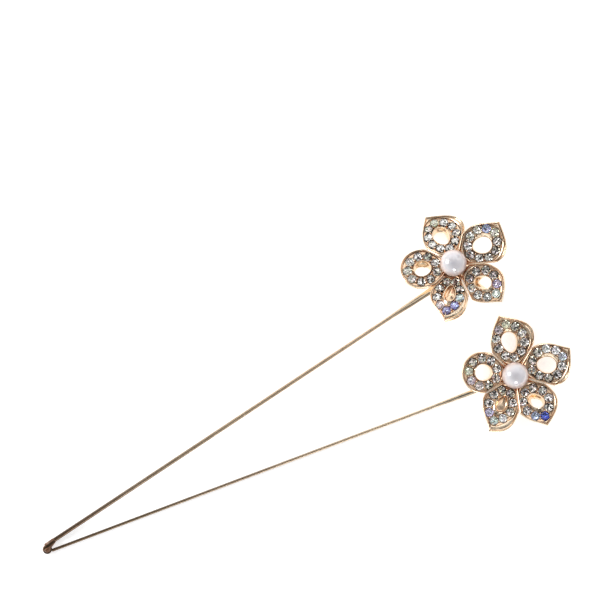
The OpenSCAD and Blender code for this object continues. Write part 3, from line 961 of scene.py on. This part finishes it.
def arm_mesh(side):
    """Wire that swells into the flat blade under the hub, with a rounded end."""
    length, wire = LENGTH[side], WIRE_R[side]
    start = FORK_BLOCK_X - 0.6 if side == "left" else BARREL_R - 0.25
    # Where it starts to swell and where its neck is, before the flower; the neck's half width
    rise, neck, neck_w = (26, 16, 0.9) if side == "left" else (31, 14, 0.75)
    end = length + BOSS_R
    xs = [start, start + 0.05, start + 0.15]
    xs += list(np.linspace(start + 1, length - rise, 60))
    xs += list(np.linspace(length - rise, end, 46)[1:])
    half = BLADE_W / 2
    xs += [end + half * s for s in (0.25, 0.5, 0.7, 0.85, 0.94, 0.985)]
    segments = 20
    rings = []
    for x in xs:
        to_neck = smooth_step(x, length - rise, length - neck)
        to_full = smooth_step(x, length - neck, length - HUB_R)
        w = wire + (neck_w - wire) * to_neck + (half - neck_w) * to_full
        h = wire + (BLADE_T / 2 - wire) * smooth_step(x, length - rise + 3, length - neck + 1)
        if x > end:
            w = half * math.sqrt(max(1 - ((x - end) / half) ** 2, 0))
        power = 2 + 0.4 * smooth_step(x, length - rise, length - neck)
        inset = 0.9 if x < start + 0.02 else (0.97 if x < start + 0.1 else 1.0)
        roll = -ROLL[side] * smooth_step(x, length - rise - 4, length - neck)
        c, s = math.cos(math.radians(roll)), math.sin(math.radians(roll))
        for i in range(segments):
            a = 2 * math.pi * (i + 0.5) / segments
            ca, sa = math.cos(a), math.sin(a)
            y = inset * w * math.copysign(abs(ca) ** (2 / power), ca)
            z = inset * h * math.copysign(abs(sa) ** (2 / power), sa)
            rings.append((x, y * c - z * s, y * s + z * c))
    return np.array(rings), capped_faces(len(xs), segments)


def rounded_edge(z0, z1, bevel):
    """Inset and height down the side of a plate whose two edges are rounded."""
    b = bevel
    return [(b, z0), (0.3 * b, z0 + 0.3 * b), (0.0, z0 + b),
            (0.0, z1 - b), (0.3 * b, z1 - 0.3 * b), (b, z1)]


def slab(outer, inner, z0, z1, bevel):
    """A plate with a hole: outer and inner are matching rings of points."""
    outward = outer - inner
    outward /= np.linalg.norm(outward, axis=1)[:, None]
    rows = []
    marks = rounded_edge(z0, z1, bevel)
    for ring, sign, side_marks in ((outer, -1, marks), (inner, 1, marks[::-1])):
        for d, z in side_marks:
            flat = ring + sign * outward * d
            rows.append(np.column_stack([flat, np.full(len(flat), z)]))
    return np.concatenate(rows), ring_faces(len(rows), len(outer))


def keyhole():
    """Outline of a fork plate: a round eye running into the strip under the wire."""
    low, high = OFFSET["left"] - FORK_HALF, OFFSET["left"] + FORK_HALF
    polygon = [(FORK_BLOCK_X, low), (FORK_BLOCK_X, high), (0.2, high), (-0.5, high - 0.12)]
    for a in np.radians(np.linspace(90, 350, 60)):
        polygon.append((BARREL_R * math.cos(a), BARREL_R * math.sin(a)))
    angles = np.linspace(0, 2 * math.pi, 96, endpoint=False) + 0.001
    directions = np.stack([np.cos(angles), np.sin(angles)], 1)
    reach = ray_reach(np.zeros(2), directions, np.array(polygon), [])
    return directions * np.minimum(reach, 3 * BARREL_R)[:, None], directions


def box_mesh(x0, x1, y0, y1, z0, z1, bevel):
    """A block with rounded edges, as a stack of rounded outlines."""
    corners, r = [], bevel
    middles = ((x1 - r, y1 - r), (x0 + r, y1 - r), (x0 + r, y0 + r), (x1 - r, y0 + r))
    for (cx, cy), a0 in zip(middles, (0, 90, 180, 270)):
        for a in np.radians(np.linspace(a0, a0 + 90, 5)):
            corners.append((cx, cy, math.cos(a), math.sin(a)))
    rows = [[(cx + (r - inset) * c, cy + (r - inset) * s, z) for cx, cy, c, s in corners]
            for inset, z in rounded_edge(z0, z1, r)]
    return np.array([p for row in rows for p in row]), capped_faces(len(rows), len(corners))


def fork_plates(place):
    """Two plates with the pin's hole; the upper one is drawn in where the right arm lies under it."""
    outer, directions = keyhole()
    inner = directions * (PIN_R + 0.01)
    drawn_in = outer * np.where(directions[:, 1:] < 0.1, 0.7, 1.0)
    for name, shape, low in (("lower", outer, 0.0), ("upper", drawn_in, BARREL_H - FORK_T)):
        piece(f"left_fork_{name}", *slab(shape, inner, low, low + FORK_T, EDGE_BEVEL), place,
              [WORN_COPPER], "left", ["left_arm"], "gold_plate", sharp=30)


def fork_ridge(place):
    """The wire's line, carried on over the upper plate to the end of the fork."""
    start, nose, fade, segments = -0.5, 0.5, 0.35, 16
    xs = np.concatenate([[-0.98, -0.95, -0.86, -0.7], np.linspace(-0.4, FORK_BLOCK_X - fade, 12),
                         [FORK_BLOCK_X - 0.15, FORK_BLOCK_X - 0.05]])
    points = []
    for x in xs:
        full = 1.0
        if x < start:
            full = math.sqrt(max(1 - ((x - start) / nose) ** 2, 0.02))
        elif x > FORK_BLOCK_X - fade:
            full = math.sqrt(max((FORK_BLOCK_X - x) / fade, 0.05))
        for a in np.radians(np.linspace(0, 360, segments, endpoint=False)):
            lift = (0.22 if math.sin(a) > 0 else 0.12) * math.sin(a)
            y = 0.72 + 0.17 * smooth_step(x, 0, 3) + 0.42 * full * math.cos(a)
            points.append((x, y, BARREL_H + lift * full))
    piece("left_fork_ridge", points, capped_faces(len(xs), segments), place, [ARM_GOLD["left"]],
          "left", ["left_arm"], "gold_plate", sharp=30)


def fork_web(place):
    """The block between the plates, at the wire's end."""
    mesh = box_mesh(FORK_WEB_X, FORK_BLOCK_X, OFFSET["left"] - FORK_HALF, OFFSET["left"] + FORK_HALF,
                    FORK_T - 0.05, BARREL_H - FORK_T + 0.05, 0.1)
    piece("left_fork_web", *mesh, place, [WORN_COPPER], "left", ["left_arm"], "gold_plate")


def knuckle_eye():
    """The ring at the right wire's end, between the plates."""
    low, high = HINGE_Z - KNUCKLE_H / 2, HINGE_Z + KNUCKLE_H / 2
    bore, b = PIN_R + RUNNING_GAP, EDGE_BEVEL
    profile = [(bore, low + b), (bore + b, low)]
    profile += [(BARREL_R - inset, z) for inset, z in rounded_edge(low, high, b)]
    profile += [(bore + b, high), (bore, high - b)]
    piece("right_knuckle_eye", *lathe(profile, 64), Matrix.Identity(4), [ARM_GOLD["right"]], "right",
          ["right_arm"], "gold_plate", sharp=30)


def hinge_rivet():
    """The pin; its head is smaller than the CAD's, so that the copper plate shows round it."""
    shank = PIN_R - 0.01
    profile = [(0, 0.0), (shank - 0.07, 0.0), (shank, 0.08), (shank, BARREL_H + 0.005)]
    profile += [(r, BARREL_H + z) for r, z in (
        (HEAD_R - 0.03, 0.005), (HEAD_R, 0.04), (HEAD_R - 0.01, 0.1), (0.5, 0.2), (0.38, 0.26),
        (0.25, 0.295), (0, PIN_HEAD_H))]
    piece("hinge_pin_rivet", *lathe(profile, 48), Matrix.Identity(4), [PIN_BRONZE], "left",
          ["hinge_pin"], "pin_bronze", sharp=30)


for side in SIDES:
    piece(f"{side}_arm_wire", *arm_mesh(side), on_arm(side), [ARM_GOLD[side]], side, [f"{side}_arm"],
          "gold_plate", sharp=30)
left_end = turn("Z", ANGLE["left"])
fork_plates(left_end)
fork_ridge(left_end)
fork_web(left_end)
knuckle_eye()
hinge_rivet()

# The pegs inside the pearls keep their CAD shape
for side in SIDES:
    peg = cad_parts[f"{side}_pearl_peg"]
    peg.data.materials.clear()
    peg.data.materials.append(SHADED_HUB_GOLD)


# ---------------------------------------------------------------- agreement with the frame
def agree(piece_name, cad_name, within=0.45):
    """Stops if a piece isn't where the CAD part that it stands for is."""
    obj = bpy.data.objects[piece_name]
    co = np.array([obj.matrix_world @ v.co for v in obj.data.vertices])
    low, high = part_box(cad_name)
    worst = max(np.abs(co.min(0) - np.array(low)).max(), np.abs(co.max(0) - np.array(high)).max())
    if worst > within * MM:
        raise RuntimeError(f"{piece_name} is {worst / MM:.2f} mm away from {cad_name}")


bpy.context.view_layer.update()
for side in SIDES:
    agree(f"{side}_pearl_ball", f"{side}_pearl")
    for k in PETALS:
        agree(f"{side}_petal_{k}_cast", f"{side}_petal_{k}")
        agree(f"{side}_stones_{k}_cut", f"{side}_stones_{k}")


# ---------------------------------------------------------------- studio
def sheet_of_paper():
    """The floor, just under the pin."""
    size, n, below = 3.0, 8, 0.00002
    mesh = bpy.data.meshes.new("paper")
    ticks = [-size + 2 * size * i / n for i in range(n + 1)]
    faces = [(j * (n + 1) + i, j * (n + 1) + i + 1, (j + 1) * (n + 1) + i + 1, (j + 1) * (n + 1) + i)
             for j in range(n) for i in range(n)]
    mesh.from_pydata([(x, y, -below) for y in ticks for x in ticks], [], faces)
    mesh.materials.append(paper())
    obj = bpy.data.objects.new("paper", mesh)
    bpy.context.scene.collection.objects.link(obj)


def softbox(name, direction, size, watts):
    """A square light that faces the target from the given direction."""
    data = bpy.data.lights.new(name, "AREA")
    data.shape = "RECTANGLE"
    data.size = data.size_y = size
    data.energy = watts
    obj = bpy.data.objects.new(name, data)
    bpy.context.scene.collection.objects.link(obj)
    way = direction.normalized()
    obj.location = TARGET + way * LIGHT_DISTANCE
    obj.rotation_mode = "QUATERNION"
    obj.rotation_quaternion = way.to_track_quat("Z", "Y")


TARGET = Vector((0.1014, 0.0323, 0))
LENS, SENSOR, FIELD = 500.0, 36.0, 0.18
LIGHT_DISTANCE = 0.7

camera_data = bpy.data.cameras.new("camera")
camera_data.type = "PERSP"
camera_data.sensor_width = SENSOR
camera_data.lens = LENS
camera_data.clip_start, camera_data.clip_end = 0.05, 20.0
camera = bpy.data.objects.new("camera", camera_data)
bpy.context.scene.collection.objects.link(camera)
camera.matrix_world = Matrix((
    (RIGHT.x, UP.x, 0, TARGET.x),
    (RIGHT.y, UP.y, 0, TARGET.y),
    (0, 0, 1, FIELD * LENS / SENSOR),
    (0, 0, 0, 1),
))
bpy.context.scene.camera = camera


def tent():
    """A white tent: bright all round, with a darker opening overhead and a few dark gaps."""
    world = bpy.data.worlds.new("tent")
    bpy.context.scene.world = world
    world.use_nodes = True
    tree = world.node_tree
    tree.nodes.clear()
    out = tree.nodes.new("ShaderNodeOutputWorld")
    back = tree.nodes.new("ShaderNodeBackground")
    tree.links.new(back.outputs[0], out.inputs["Surface"])
    where = node(tree, "ShaderNodeTexCoord").outputs["Generated"]
    split = node(tree, "ShaderNodeSeparateXYZ")
    tree.links.new(where, split.inputs[0])
    dome = greys(tree, split.outputs["Z"], (0.0, 0.5), (0.15, 0.6), (0.35, 1.0), (0.88, 1.0),
                 (0.95, 0.78), (0.982, 0.36), (0.999, 0.1))
    gaps = greys(tree, noise(tree, where, 5.2, 1.0), (0.43, 0.05), (0.49, 1.0))
    # The tent is brighter beyond the flowers than on the near side
    slope = node(tree, "ShaderNodeVectorMath", operation="DOT_PRODUCT")
    tree.links.new(where, slope.inputs[0])
    slope.inputs[1].default_value = UP * 0.9 + RIGHT * 0.1
    far = greys(tree, slope.outputs["Value"], (0.0, 0.45), (0.6, 1.0))
    tree.links.new(mix(tree, 1.0, mix(tree, 1.0, dome, gaps), far), back.inputs["Color"])
    back.inputs["Strength"].default_value = 1.62


sheet_of_paper()
tent()
softbox("key", -RIGHT * 0.8 + UP * 0.16 + Vector((0, 0, 0.56)), 0.34, 1.8)
softbox("fill", RIGHT * 0.16 - UP * 0.84 + Vector((0, 0, 0.38)), 0.24, 1.0)
bpy.context.scene.view_settings.view_transform = "Standard"
